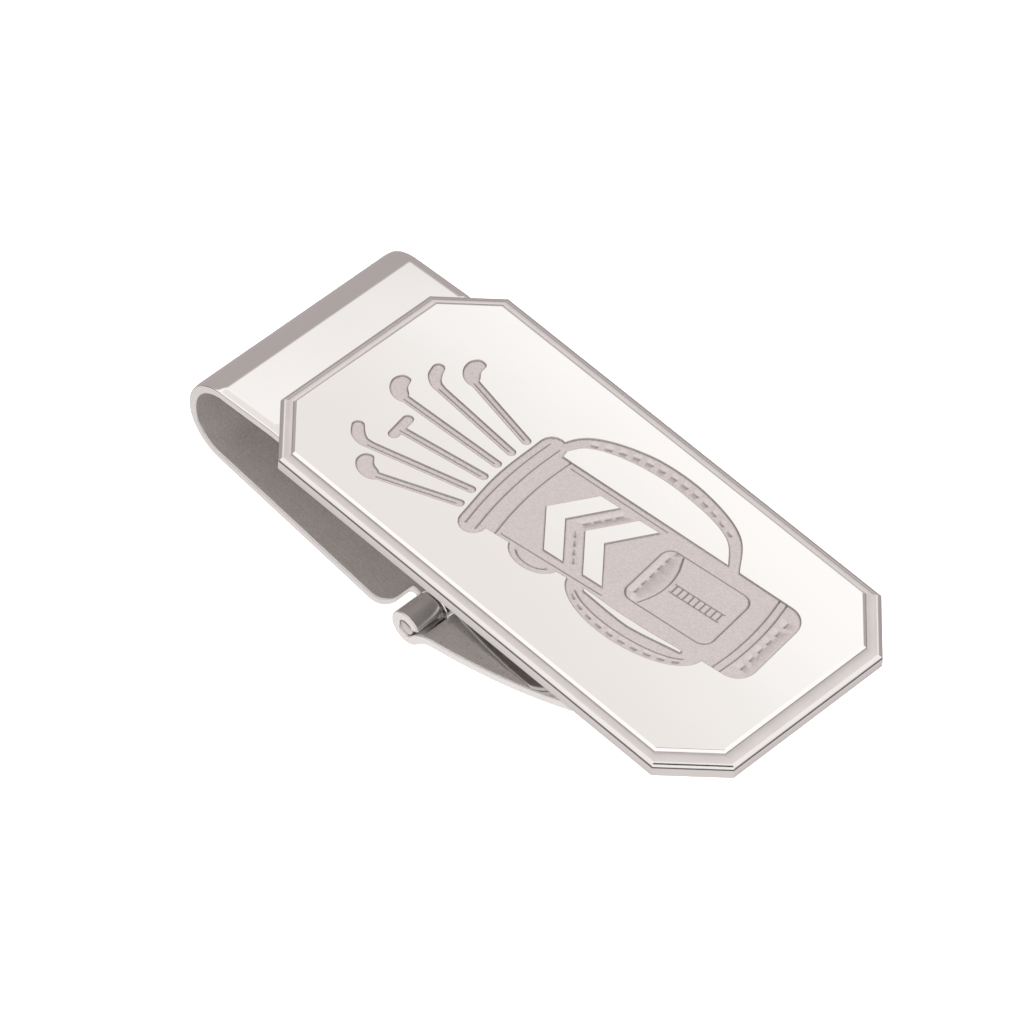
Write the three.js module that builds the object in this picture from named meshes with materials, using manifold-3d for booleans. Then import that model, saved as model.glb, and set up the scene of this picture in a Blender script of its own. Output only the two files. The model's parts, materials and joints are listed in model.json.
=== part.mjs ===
// A spring-loaded hinged money clip: an octagonal front plate, a bent band that loops
// behind it, and a bowed lever that is hinged to the band's lower leg.
//
// Millimetres. The origin is the centre of the front plate, level with its raised panel's top
// face. +X runs along the clip away from its loop, +Y across it, and +Z straight out of the
// front.

import * as THREE from 'three';
import { mergeVertices } from 'three/addons/utils/BufferGeometryUtils.js';
import Module from 'manifold-3d';

const wasm = await Module();
wasm.setup();

const deg = THREE.MathUtils.degToRad;

// ---- driving dimensions ---------------------------------------------------------------

// front plate
const PLATE_LENGTH = 50.8;
const PLATE_WIDTH = 25.4;
const PLATE_CORNER = 4.5; // leg of each 45 degree corner cut
const PLATE_THICKNESS = 1.3; // from the border's top to the underside
const PLATE_EDGE_ROUND = 0.2;
const PANEL_LENGTH = 47.85; // of the raised panel's flat top
const PANEL_WIDTH = 22.85;
const PANEL_CORNER = 3.75;
const PANEL_CENTRE = { x: -0.24, y: 0.08 }; // so the border is not equally wide all round
const PANEL_RISE = 0.22; // the panel stands this far above the border
const PANEL_BEVEL = 0.25; // width of the slope round the panel

// band
const SHEET = 0.85; // thickness of the band and of the lever
const BAND_WIDTH = 21.6;
const BAND_SHIFT = 0.5; // across the clip: the band and all it carries sit this far to +Y
const TOP_LEG_END = 20.5; // the top leg stops here, under the plate
const TOP_LEG_SLOPE = deg(4.7); // of the short stretch between the loop and the plate
const TOP_LEG_BEND_RADIUS = 3;
const LOOP_RADIUS = 4.12; // outside of the loop
const LOOP_CENTRE_X = -29.7;
const LOWER_LEG_SLOPE = deg(-6);
const TONGUE_END = -10.9; // the lower leg's full width stops here
const TONGUE_CORNER = 1.5;
const NECK_FILLET = 0.3; // where the tongue steps in to the neck of the centre knuckle

// hinge
const HINGE = { x: -8.4, z: -12.05 };
const KNUCKLE_RADIUS = 1.6;
const CENTRE_KNUCKLE_WIDTH = 15.4;
const KNUCKLE_GAP = 0.2; // between neighbouring knuckles, along the pin
const LEVER_NOTCH_GAP = 0.35; // between the centre knuckle and the lever's cut-back edge
const BAND_NECK_RADIUS = 1.2; // centreline of the bend where the band leaves its knuckle
const LEVER_NECK_RADIUS = 3;
const CURL_SEAM = deg(16); // angle between a rolled knuckle's end and its own strip
const PIN_CLEARANCE = 0.05;
const PIN_CHAMFER = 0.15;

// lever
const LEVER_ROOT_SLOPE = deg(11.2);
const LEVER_BOW_RADIUS = 58;
const LEVER_BOW_ANGLE = deg(16.5);
const LEVER_TIP_RADIUS = 10; // the bend that meets the top leg
const LEVER_TIP_FLARE = deg(12); // the end turns away from the leg by this much
const LEVER_TIP_CLEARANCE = 0.05;
const LEVER_TAPER = deg(2.5); // per side
const LEVER_CORNER = 4;

// leaf spring
const LEAF_THICKNESS = 0.4;
const LEAF_GAP = 0.05; // between the leaf and what it lies on
const LEAF_ROOT_X = 7.4; // the riveted end
const LEAF_HALF_WIDTH = 10.25;
const LEAF_ROOT_CORNER = 2.4;
const LEAF_TAPER = deg(12); // per side, towards the hinge
const LEAF_TIP_X = -9.4;
const LEAF_TIP_CORNER = 1.2;
const LEAF_TIP_WRAP = deg(50); // how far the free end turns down over the knuckle, untrimmed

// rivets
const RIVET_X = 5.9;
const RIVET_SPACING = 8;
const RIVET_SHANK_RADIUS = 0.65;
const RIVET_HOLE_RADIUS = 0.72;
const RIVET_HEAD_RADIUS = 1.1;
const RIVET_HEAD_HEIGHT = 0.4;
const RIVET_SEAT_GAP = 0.06;

// fineness of round shapes
const ARC_STEP = deg(6);
const WIDE_ARC_STEP = deg(2);
const WIDE_ARC_RADIUS = 20; // arcs above this radius take the wide step
const ROUND_SEGMENTS = 40;
const CORNER_SEGMENTS = 8;
const DOME_SEGMENTS = 5;
const TRIM = 0.5; // what is cut off a strip's end, or stands past a part that it cuts

// ---- heights and radii that follow from those -----------------------------------------

const BORDER_TOP = -PANEL_RISE;
const PLATE_UNDERSIDE = BORDER_TOP - PLATE_THICKNESS;
const LEG_UNDERSIDE = PLATE_UNDERSIDE - SHEET;
const CURL_RADIUS = KNUCKLE_RADIUS - SHEET / 2; // sheet centreline round the pin
const PIN_RADIUS = KNUCKLE_RADIUS - SHEET - PIN_CLEARANCE;
const LEAF_OFFSET = SHEET / 2 + LEAF_GAP + LEAF_THICKNESS / 2; // lever to leaf centrelines

// ---- solids ---------------------------------------------------------------------------

function toSolid(geometry) {
  geometry.deleteAttribute('normal');
  geometry.deleteAttribute('uv');
  const merged = mergeVertices(geometry, 1e-5);
  return new wasm.Manifold(new wasm.Mesh({
    numProp: 3,
    vertProperties: new Float32Array(merged.attributes.position.array),
    triVerts: new Uint32Array(merged.index.array),
  }));
}

function toMesh(name, solid, material) {
  const { vertProperties, triVerts } = solid.getMesh();
  const indexed = new THREE.BufferGeometry();
  indexed.setAttribute('position', new THREE.BufferAttribute(vertProperties, 3));
  indexed.setIndex(new THREE.BufferAttribute(triVerts, 1));
  const geometry = indexed.toNonIndexed();
  geometry.computeVertexNormals();
  const mesh = new THREE.Mesh(geometry, material);
  mesh.name = name;
  return mesh;
}

// A prism of an outline in the X-Z plane, centred across the clip.
function sidePrism(points, width) {
  const shape = new THREE.Shape(points.map(({ x, z }) => new THREE.Vector2(x, z)));
  const geometry = new THREE.ExtrudeGeometry(shape, { depth: width, bevelEnabled: false });
  geometry.rotateX(Math.PI / 2);
  geometry.translate(0, width / 2, 0);
  return toSolid(geometry);
}

// A prism of an outline in the X-Y plane, between two heights.
function planPrism(points, bottom, top) {
  const depth = top - bottom;
  const shape = new THREE.Shape(points);
  const geometry = new THREE.ExtrudeGeometry(shape, { depth, bevelEnabled: false });
  geometry.translate(0, 0, bottom);
  return toSolid(geometry);
}

// The full outline whose +Y half is the given path, drawn from the low X end to the high.
function mirroredOutline(path) {
  const half = path.getPoints(CORNER_SEGMENTS);
  const otherHalf = half.map(({ x, y }) => new THREE.Vector2(x, -y)).reverse();
  return [...half, ...otherHalf];
}

// ---- bent strips ----------------------------------------------------------------------

// A strip's centreline is a walk of straight lines and bends in the X-Z plane. A state is a
// point and a heading, counter-clockwise from +X. A positive turn bends left.

function step(state, move) {
  const { x, z, heading } = state;
  if (move.line !== undefined) {
    return { x: x + move.line * Math.cos(heading), z: z + move.line * Math.sin(heading), heading };
  }
  const radius = Math.sign(move.turn) * move.radius;
  const next = heading + move.turn;
  return {
    x: x + radius * (Math.sin(next) - Math.sin(heading)),
    z: z - radius * (Math.cos(next) - Math.cos(heading)),
    heading: next,
  };
}

function walk(start, moves) {
  return moves.reduce(step, start);
}

// The point at a distance to the left of a state.
function beside(state, distance) {
  return {
    x: state.x - distance * Math.sin(state.heading),
    z: state.z + distance * Math.cos(state.heading),
    heading: state.heading,
  };
}

function stripOutline(start, moves, thickness) {
  const states = [start];
  for (const move of moves) {
    const from = states.at(-1);
    const finest = move.radius > WIDE_ARC_RADIUS ? WIDE_ARC_STEP : ARC_STEP;
    const count = move.line === undefined ? Math.ceil(Math.abs(move.turn) / finest) : 1;
    for (let i = 1; i < count; i += 1) {
      states.push(step(from, { ...move, turn: (move.turn * i) / count }));
    }
    states.push(step(from, move));
  }
  const left = states.map((state) => beside(state, thickness / 2));
  const right = states.map((state) => beside(state, -thickness / 2));
  return [...right, ...left.reverse()];
}

// Where a rolled knuckle's neck is straight again, measured from the pin's centre.
function neckReach(neckRadius) {
  return Math.sqrt(CURL_RADIUS ** 2 + 2 * CURL_RADIUS * neckRadius);
}

// A knuckle rolled from its own strip. It starts at the roll's free end just above the strip,
// goes over the top and round the pin, bends back, and leaves straight away from the pin's
// centre. The strip goes to +X for side +1 and to -X for side -1.
function rolledKnuckle(slope, side, neckRadius) {
  const release = Math.atan2(neckRadius, neckReach(neckRadius));
  const away = side > 0 ? slope : slope + Math.PI;
  const polar = away + side * CURL_SEAM;
  const start = {
    x: HINGE.x + CURL_RADIUS * Math.cos(polar),
    z: HINGE.z + CURL_RADIUS * Math.sin(polar),
    heading: polar - side * deg(270),
  };
  const moves = [
    { radius: CURL_RADIUS, turn: side * (2 * Math.PI - release - CURL_SEAM) },
    { radius: neckRadius, turn: side * (release - Math.PI / 2) },
  ];
  return { start, moves };
}

// ---- front plate ----------------------------------------------------------------------

function octagon(length, width, corner) {
  const x = length / 2;
  const y = width / 2;
  const path = new THREE.Path([
    new THREE.Vector2(-x, y - corner),
    new THREE.Vector2(-x + corner, y),
    new THREE.Vector2(x - corner, y),
    new THREE.Vector2(x, y - corner),
  ]);
  return new THREE.Shape(mirroredOutline(path));
}

function makeFrontPlate() {
  const slab = new THREE.ExtrudeGeometry(octagon(PLATE_LENGTH, PLATE_WIDTH, PLATE_CORNER), {
    depth: PLATE_THICKNESS - 2 * PLATE_EDGE_ROUND,
    bevelThickness: PLATE_EDGE_ROUND,
    bevelSize: PLATE_EDGE_ROUND,
    bevelOffset: -PLATE_EDGE_ROUND,
    bevelSegments: 3,
  });
  slab.translate(0, 0, PLATE_UNDERSIDE + PLATE_EDGE_ROUND);
  // the panel's own lower half is buried in the slab
  const buried = PLATE_THICKNESS / 2;
  const panel = new THREE.ExtrudeGeometry(octagon(PANEL_LENGTH, PANEL_WIDTH, PANEL_CORNER), {
    depth: buried,
    bevelThickness: PANEL_RISE,
    bevelSize: PANEL_BEVEL,
    bevelSegments: 1,
  });
  panel.translate(PANEL_CENTRE.x, PANEL_CENTRE.y, BORDER_TOP - buried);
  return toSolid(slab).add(toSolid(panel));
}

// ---- clip band ------------------------------------------------------------------------

function bandOutline() {
  const { start, moves } = rolledKnuckle(LOWER_LEG_SLOPE, -1, BAND_NECK_RADIUS);
  const centreRadius = LOOP_RADIUS - SHEET / 2;
  // the lower leg runs straight from the neck to where it touches the loop's circle
  const hingeToLoop = (HINGE.x - LOOP_CENTRE_X) / Math.cos(LOWER_LEG_SLOPE)
    - centreRadius * Math.tan(LOWER_LEG_SLOPE);
  moves.push({ line: hingeToLoop - neckReach(BAND_NECK_RADIUS) });
  moves.push({ radius: centreRadius, turn: TOP_LEG_SLOPE - LOWER_LEG_SLOPE - Math.PI });
  const loopTop = walk(start, moves);
  const rise = PLATE_UNDERSIDE - SHEET / 2 - loopTop.z;
  const bendRise = TOP_LEG_BEND_RADIUS * (1 - Math.cos(TOP_LEG_SLOPE));
  moves.push({ line: (rise - bendRise) / Math.sin(TOP_LEG_SLOPE) });
  moves.push({ radius: TOP_LEG_BEND_RADIUS, turn: -TOP_LEG_SLOPE });
  moves.push({ line: TOP_LEG_END - walk(start, moves).x });
  return stripOutline(start, moves, SHEET);
}

// What is cut away at the +Y side of the lower leg's end: the rounded corner, and the room
// beside the neck for the lever's own knuckle.
function tongueCutOutline() {
  const edge = BAND_WIDTH / 2;
  const neck = CENTRE_KNUCKLE_WIDTH / 2;
  const cornerX = TONGUE_END - TONGUE_CORNER;
  const beyond = HINGE.x + 2 * KNUCKLE_RADIUS;
  const path = new THREE.Path();
  path.moveTo(cornerX, edge + TRIM);
  path.lineTo(cornerX, edge);
  path.absarc(cornerX, edge - TONGUE_CORNER, TONGUE_CORNER, deg(90), 0, true);
  path.lineTo(TONGUE_END, neck + NECK_FILLET);
  path.absarc(TONGUE_END + NECK_FILLET, neck + NECK_FILLET, NECK_FILLET, deg(180), deg(270), false);
  path.lineTo(beyond, neck);
  path.lineTo(beyond, edge + TRIM);
  return path.getPoints(CORNER_SEGMENTS);
}

function makeClipBand() {
  const cutBottom = HINGE.z - 2 * KNUCKLE_RADIUS;
  const cutTop = HINGE.z + 2 * KNUCKLE_RADIUS;
  const cut = tongueCutOutline();
  const mirroredCut = cut.map(({ x, y }) => new THREE.Vector2(x, -y));
  return sidePrism(bandOutline(), BAND_WIDTH)
    .subtract(planPrism(cut, cutBottom, cutTop))
    .subtract(planPrism(mirroredCut, cutBottom, cutTop));
}

// ---- lever ----------------------------------------------------------------------------

const leverKnuckle = rolledKnuckle(LEVER_ROOT_SLOPE, 1, LEVER_NECK_RADIUS);
const leverBowStart = walk(leverKnuckle.start, leverKnuckle.moves);
const leverBow = { radius: LEVER_BOW_RADIUS, turn: LEVER_BOW_ANGLE };
const leverBowEnd = step(leverBowStart, leverBow);

// The straight and the tip bend after the bow. The bend's highest point comes up to the top
// leg, short of it by the tip clearance.
function leverTipMoves() {
  const slope = leverBowEnd.heading;
  const highest = LEG_UNDERSIDE - LEVER_TIP_CLEARANCE - SHEET / 2;
  const bendRise = LEVER_TIP_RADIUS * (1 - Math.cos(slope));
  return [
    { line: (highest - leverBowEnd.z - bendRise) / Math.sin(slope) },
    { radius: LEVER_TIP_RADIUS, turn: -slope - LEVER_TIP_FLARE },
  ];
}

// The state of the lever's centreline at an x on its bow.
function leverAt(x) {
  const heading = Math.asin((x - leverBowStart.x) / LEVER_BOW_RADIUS + Math.sin(leverBowStart.heading));
  return step(leverBowStart, { radius: LEVER_BOW_RADIUS, turn: heading - leverBowStart.heading });
}

function leverPlan(tipX) {
  const knuckleEdge = BAND_WIDTH / 2;
  const taperStart = HINGE.x + KNUCKLE_RADIUS;
  const cornerX = tipX - LEVER_CORNER;
  const cornerY = knuckleEdge - (cornerX - taperStart) * Math.tan(LEVER_TAPER)
    - LEVER_CORNER / Math.cos(LEVER_TAPER);
  const path = new THREE.Path();
  path.moveTo(HINGE.x - 2 * KNUCKLE_RADIUS, knuckleEdge);
  path.lineTo(taperStart, knuckleEdge);
  path.absarc(cornerX, cornerY, LEVER_CORNER, deg(90) - LEVER_TAPER, 0, true);
  return mirroredOutline(path);
}

// A cylinder square to the lever's face, centred on its centreline at RIVET_X.
function placeOnLever(geometry, y) {
  const seat = leverAt(RIVET_X);
  geometry.rotateX(Math.PI / 2);
  geometry.rotateY(-seat.heading);
  geometry.translate(seat.x, y, seat.z);
  return toSolid(geometry);
}

const rivetPlaces = [-RIVET_SPACING / 2, RIVET_SPACING / 2];

function withRivetHoles(solid) {
  const length = 8 * SHEET;
  return rivetPlaces.reduce((drilled, y) => {
    const hole = new THREE.CylinderGeometry(RIVET_HOLE_RADIUS, RIVET_HOLE_RADIUS, length, ROUND_SEGMENTS);
    return drilled.subtract(placeOnLever(hole, y));
  }, solid);
}

function makeLever() {
  const moves = [...leverKnuckle.moves, leverBow, ...leverTipMoves()];
  const tip = walk(leverKnuckle.start, moves);
  moves.push({ line: TRIM });
  const outline = stripOutline(leverKnuckle.start, moves, SHEET);
  const bottom = HINGE.z - 2 * KNUCKLE_RADIUS;
  const strip = sidePrism(outline, BAND_WIDTH + 2 * TRIM)
    .intersect(planPrism(leverPlan(tip.x), bottom, LEG_UNDERSIDE));
  const notchEnd = HINGE.x + KNUCKLE_RADIUS + LEVER_NOTCH_GAP;
  const notchStart = HINGE.x - 2 * KNUCKLE_RADIUS;
  const notchWidth = CENTRE_KNUCKLE_WIDTH + 2 * KNUCKLE_GAP;
  const notch = new THREE.BoxGeometry(notchEnd - notchStart, notchWidth, 5 * KNUCKLE_RADIUS);
  notch.translate((notchStart + notchEnd) / 2, 0, HINGE.z);
  return withRivetHoles(strip.subtract(toSolid(notch)));
}

// ---- hinge pin ------------------------------------------------------------------------

function makeHingePin() {
  const end = BAND_WIDTH / 2;
  const geometry = new THREE.LatheGeometry([
    new THREE.Vector2(0, -end),
    new THREE.Vector2(PIN_RADIUS - PIN_CHAMFER, -end),
    new THREE.Vector2(PIN_RADIUS, -end + PIN_CHAMFER),
    new THREE.Vector2(PIN_RADIUS, end - PIN_CHAMFER),
    new THREE.Vector2(PIN_RADIUS - PIN_CHAMFER, end),
    new THREE.Vector2(0, end),
  ], ROUND_SEGMENTS);
  geometry.translate(HINGE.x, 0, HINGE.z);
  return toSolid(geometry);
}

// ---- leaf spring ----------------------------------------------------------------------

const leafPeak = {
  x: HINGE.x,
  z: HINGE.z + KNUCKLE_RADIUS + LEAF_GAP + LEAF_THICKNESS / 2,
};

// The angle of the arc that is flat over the pin and reaches a point of the leaf.
function leafArcAngle(point) {
  return 2 * Math.atan2(point.z - leafPeak.z, point.x - leafPeak.x);
}

// The leaf leaves the lever's face where that arc has the face's own slope.
function leafLiftOff() {
  let low = leverBowStart.x;
  let high = LEAF_ROOT_X;
  while (high - low > 1e-6) {
    const middle = (low + high) / 2;
    const point = beside(leverAt(middle), LEAF_OFFSET);
    if (leafArcAngle(point) < point.heading) low = middle;
    else high = middle;
  }
  return beside(leverAt(low), LEAF_OFFSET);
}

function leafOutline() {
  const root = beside(leverAt(LEAF_ROOT_X + TRIM), LEAF_OFFSET);
  const lift = leafLiftOff();
  const angle = leafArcAngle(lift);
  const arcRadius = (lift.x - leafPeak.x) / Math.sin(angle);
  const wrapRadius = leafPeak.z - HINGE.z;
  return stripOutline({ ...root, heading: root.heading + Math.PI }, [
    { radius: LEVER_BOW_RADIUS - LEAF_OFFSET, turn: lift.heading - root.heading },
    { radius: arcRadius, turn: -angle },
    { radius: wrapRadius, turn: LEAF_TIP_WRAP },
  ], LEAF_THICKNESS);
}

function leafPlan() {
  const widestX = LEAF_ROOT_X - LEAF_ROOT_CORNER;
  const tipCornerX = LEAF_TIP_X + LEAF_TIP_CORNER;
  const tipCornerY = LEAF_HALF_WIDTH - (widestX - tipCornerX) * Math.tan(LEAF_TAPER)
    - LEAF_TIP_CORNER / Math.cos(LEAF_TAPER);
  const path = new THREE.Path();
  path.absarc(tipCornerX, tipCornerY, LEAF_TIP_CORNER, deg(180), deg(90) + LEAF_TAPER, true);
  path.absarc(widestX, LEAF_HALF_WIDTH - LEAF_ROOT_CORNER, LEAF_ROOT_CORNER, deg(90), 0, true);
  return mirroredOutline(path);
}

function makeLeafSpring() {
  const bottom = HINGE.z - KNUCKLE_RADIUS;
  const leaf = sidePrism(leafOutline(), 2 * LEAF_HALF_WIDTH + 2 * TRIM)
    .intersect(planPrism(leafPlan(), bottom, LEG_UNDERSIDE));
  return withRivetHoles(leaf);
}

// ---- rivets ---------------------------------------------------------------------------

function makeRivet(y) {
  const lowerSeat = -SHEET / 2 - RIVET_SEAT_GAP;
  const upperSeat = LEAF_OFFSET + LEAF_THICKNESS / 2 + RIVET_SEAT_GAP;
  const dome = (seat, side) => Array.from({ length: DOME_SEGMENTS + 1 }, (_, i) => {
    const angle = (i / DOME_SEGMENTS) * (Math.PI / 2);
    const radius = i < DOME_SEGMENTS ? RIVET_HEAD_RADIUS * Math.cos(angle) : 0;
    return new THREE.Vector2(radius, seat + side * RIVET_HEAD_HEIGHT * Math.sin(angle));
  });
  const geometry = new THREE.LatheGeometry([
    ...dome(lowerSeat, -1).reverse(),
    new THREE.Vector2(RIVET_SHANK_RADIUS, lowerSeat),
    new THREE.Vector2(RIVET_SHANK_RADIUS, upperSeat),
    ...dome(upperSeat, 1),
  ], ROUND_SEGMENTS);
  return placeOnLever(geometry, y);
}

// ---- materials and assembly -----------------------------------------------------------

function polishedMetal(color, roughness) {
  return new THREE.MeshStandardMaterial({ color, roughness, metalness: 1 });
}

const onBand = new THREE.Group();
onBand.position.y = BAND_SHIFT;
onBand.add(toMesh('clip_band', makeClipBand(), polishedMetal(0xd6d0cd, 0.16)));
onBand.add(toMesh('lever', makeLever(), polishedMetal(0xd2cdca, 0.16)));
onBand.add(toMesh('hinge_pin', makeHingePin(), polishedMetal(0xc4bfbd, 0.25)));
onBand.add(toMesh('leaf_spring', makeLeafSpring(), polishedMetal(0xb9b6b4, 0.2)));
onBand.add(toMesh('spring_rivet_right', makeRivet(rivetPlaces[0]), polishedMetal(0xc8c4c1, 0.25)));
onBand.add(toMesh('spring_rivet_left', makeRivet(rivetPlaces[1]), polishedMetal(0xc8c4c1, 0.25)));

const clip = new THREE.Group();
clip.add(toMesh('front_plate', makeFrontPlate(), polishedMetal(0xe4e0dc, 0.12)));
clip.add(onBand);

export default clip;
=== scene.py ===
"""Looks of a hinged money clip: a struck and etched front plate, a bent band, a sprung lever.

The drawing dimensions below are millimetres in the part's own frame; meshes are made in metres.
"""

import json
import math

import bpy
import numpy as np
from mathutils import Matrix, Vector
from mathutils.bvhtree import BVHTree
from mathutils.geometry import delaunay_2d_cdt


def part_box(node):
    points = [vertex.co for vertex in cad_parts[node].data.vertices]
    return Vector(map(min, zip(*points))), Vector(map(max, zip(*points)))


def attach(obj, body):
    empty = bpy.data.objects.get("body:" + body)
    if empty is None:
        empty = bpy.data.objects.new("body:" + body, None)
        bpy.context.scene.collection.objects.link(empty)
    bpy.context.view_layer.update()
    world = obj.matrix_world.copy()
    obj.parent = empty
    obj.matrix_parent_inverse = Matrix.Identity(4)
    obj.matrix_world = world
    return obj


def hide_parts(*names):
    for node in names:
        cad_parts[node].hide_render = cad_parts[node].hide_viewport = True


MM = 0.001

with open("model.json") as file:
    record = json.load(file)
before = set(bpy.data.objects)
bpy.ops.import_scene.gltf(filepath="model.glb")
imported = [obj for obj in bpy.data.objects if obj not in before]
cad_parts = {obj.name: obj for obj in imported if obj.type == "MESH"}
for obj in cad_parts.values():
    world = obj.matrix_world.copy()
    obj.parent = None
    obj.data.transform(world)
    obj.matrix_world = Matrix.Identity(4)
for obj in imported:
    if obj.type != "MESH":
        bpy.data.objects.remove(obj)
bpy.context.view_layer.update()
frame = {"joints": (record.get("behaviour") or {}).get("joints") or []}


def box_mm(node):
    low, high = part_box(node)
    return np.array(low) / MM, np.array(high) / MM


# ---- where things are, from the frame ----

plate_low, plate_high = box_mm("front_plate")
band_low, band_high = box_mm("clip_band")
lever_high = box_mm("lever")[1]
leaf_low, leaf_high = box_mm("leaf_spring")
pin_low, pin_high = box_mm("hinge_pin")
HINGE = np.array(frame["joints"][0]["pos_m"]) / MM
BAND_Y = (band_low[1] + band_high[1]) / 2
BAND_HALF = (band_high[1] - band_low[1]) / 2

# ---- dimensions ----

SHEET = 0.85
EDGE = 0.13  # rounding of the sheet's edges
PANEL_RISE = 0.22
KNUCKLE_RADIUS = 1.6
CURL_RADIUS = KNUCKLE_RADIUS - SHEET / 2
CURL_SEAM = math.radians(16)
CENTRE_KNUCKLE_HALF = 7.7
KNUCKLE_GAP = 0.2
SMOOTH_BELOW = math.radians(32)  # edges that turn less than this are shaded smooth
HALVINGS = 50  # steps of each search for a place along a path


# ---- meshes ----


def make_object(name, verts_mm, faces, body, node, material, normals=None):
    """A piece from points in millimetres, riding on a body and standing for a CAD node.

    The record's material slots are named as the nodes are.
    """
    mesh = bpy.data.meshes.new(name)
    mesh.from_pydata([tuple(np.asarray(v) * MM) for v in verts_mm], [], faces)
    mesh.polygons.foreach_set("use_smooth", [True] * len(mesh.polygons))
    mesh.update()
    if normals is None:
        mesh.set_sharp_from_angle(angle=SMOOTH_BELOW)
    else:
        mesh.normals_split_custom_set_from_vertices([tuple(n) for n in normals])
    mesh.materials.append(material)
    piece = bpy.data.objects.new(name, mesh)
    bpy.context.scene.collection.objects.link(piece)
    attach(piece, body)
    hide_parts(node)
    return piece


def add_attribute(piece, name, values):
    layer = piece.data.attributes.new(name, "FLOAT", "POINT")
    layer.data.foreach_set("value", np.asarray(values, np.float32))


def ring_faces(rings, count, reverse=False):
    """Quads that join that many closed rings, each of count points, one after another."""
    faces = []
    for a in range(0, (rings - 1) * count, count):
        b = a + count
        for i in range(count):
            j = (i + 1) % count
            faces.append((a + i, b + i, b + j, a + j) if reverse else (a + i, a + j, b + j, b + i))
    return faces


def unit(v):
    length = np.linalg.norm(v, axis=-1, keepdims=True)
    return v / np.maximum(length, 1e-12)


LEAST_SPREAD = 0.35  # holds the step back at a very sharp corner


def outward_mitres(points, closed=True):
    """For each point of a counter-clockwise polyline, the step that moves it 1 mm outwards."""
    p = np.asarray(points, float)
    ahead = unit(np.roll(p, -1, 0) - p)
    behind = unit(p - np.roll(p, 1, 0))
    if not closed:
        ahead[-1], behind[0] = behind[-1], ahead[0]
    n1 = np.stack([behind[:, 1], -behind[:, 0]], 1)
    n2 = np.stack([ahead[:, 1], -ahead[:, 0]], 1)
    spread = 1 + (n1 * n2).sum(1, keepdims=True)
    return (n1 + n2) / np.maximum(spread, LEAST_SPREAD)


# ---- bent sheet ----


class Path:
    """A walk of lines and bends in the X-Z plane, measured by the length walked."""

    def __init__(self, x, z, heading, moves):
        self.parts, s = [], 0.0
        for kind, size, turn in moves:
            length = size if kind == "line" else size * abs(turn)
            self.parts.append((s, length, kind, size, turn, (x, z, heading)))
            s += length
            x, z, heading = self._along(self.parts[-1], length)
        self.length, self.end = s, (x, z, heading)

    @staticmethod
    def _along(part, d):
        _, _, kind, size, turn, (x, z, a) = part
        if kind == "line":
            return x + d * math.cos(a), z + d * math.sin(a), a
        r = math.copysign(size, turn)
        b = a + d / r
        return x + r * (math.sin(b) - math.sin(a)), z - r * (math.cos(b) - math.cos(a)), b

    def at(self, s):
        part = next((p for p in reversed(self.parts) if s >= p[0]), self.parts[0])
        return self._along(part, s - part[0])

    @staticmethod
    def bend_step(size):
        """The angle between cuts across a bend: the wider the bend, the finer."""
        if size > 20:
            return math.radians(1)
        return math.radians(3 if size > 3 else 6)

    def station_list(self):
        """Lengths at which the sheet is cut across, so that it can bend."""
        found = []
        for start, length, kind, size, turn, _ in self.parts:
            if kind == "line":
                found += [start, start + length]
                continue
            count = max(1, math.ceil(abs(turn) / self.bend_step(size)))
            found += [start + length * i / count for i in range(count + 1)]
        return sorted(set(round(s, 5) for s in found))

    def length_at_x(self, x, low, high):
        """The length walked where the path passes x, between two lengths."""
        rising = self.at(high)[0] > self.at(low)[0]
        for _ in range(HALVINGS):
            middle = (low + high) / 2
            if (self.at(middle)[0] < x) == rising:
                low = middle
            else:
                high = middle
        return low


def split_at_stations(outline, stations):
    """The outline with a point wherever it crosses a station."""
    points = []
    for (s0, y0), (s1, y1) in zip(outline, outline[1:] + outline[:1]):
        points.append((s0, y0))
        crossed = [s for s in stations if min(s0, s1) + 1e-4 < s < max(s0, s1) - 1e-4]
        if s1 < s0:
            crossed.reverse()
        for s in crossed:
            points.append((s, y0 + (y1 - y0) * (s - s0) / (s1 - s0)))
    return points


EDGE_STEPS, SHOULDER_STEPS = 3, 5
SHOULDER_WIDTH, SHOULDER_SLOPE = 0.7, math.radians(9)
SHOULDER_FADE = 2.0  # length over which a shoulder grows out of the flat face


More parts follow.
